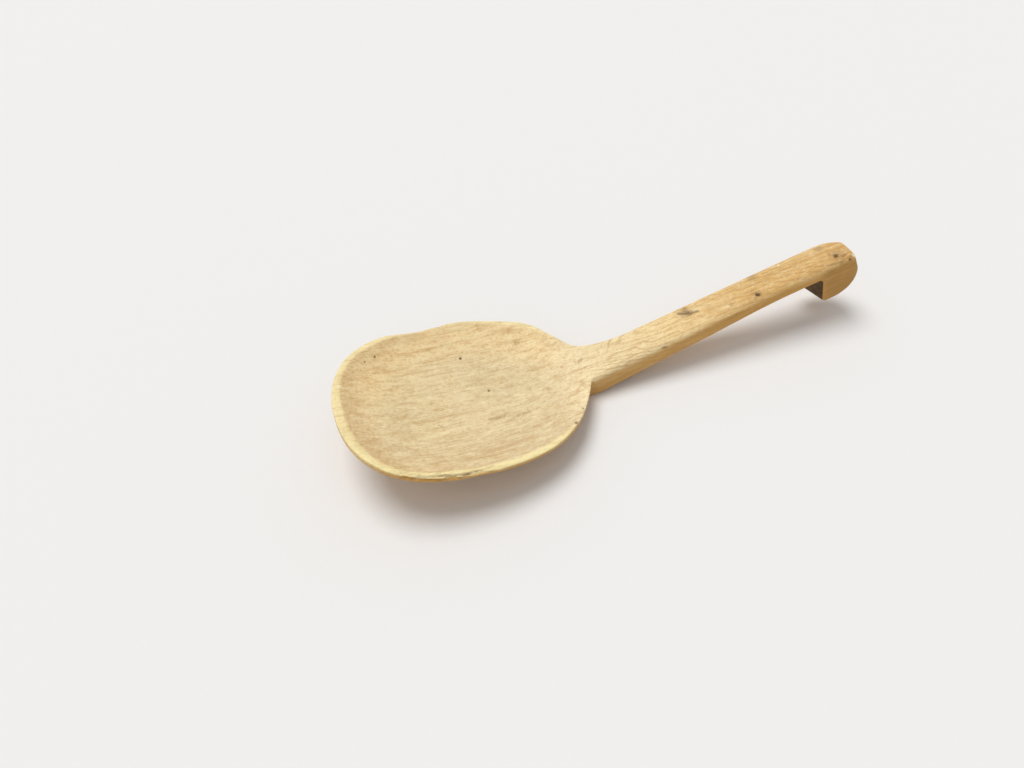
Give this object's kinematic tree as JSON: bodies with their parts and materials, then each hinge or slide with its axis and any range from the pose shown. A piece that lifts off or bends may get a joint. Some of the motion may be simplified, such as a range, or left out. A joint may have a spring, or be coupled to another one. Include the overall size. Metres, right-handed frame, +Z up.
{
  "type": "butter paddle",
  "caption": "Wooden butter paddle: a broad dished blade that runs into a raised flat handle, with a downturned hook at its end.",
  "frame": {"origin": "centre of the bottom of the bounding box, on the surface that the paddle lies on", "axes": "+X from the blade's tip to the hook, +Y across the blade to the side where the neck flares, +Z up out of the hollow"},
  "size_m": [0.3318, 0.1232, 0.0453],
  "materials": {
    "maple": "worn, dry hand-rubbed maple"
  },
  "bodies": {
    "root": {"paddle": "maple"}
  },
  "joints": []
}
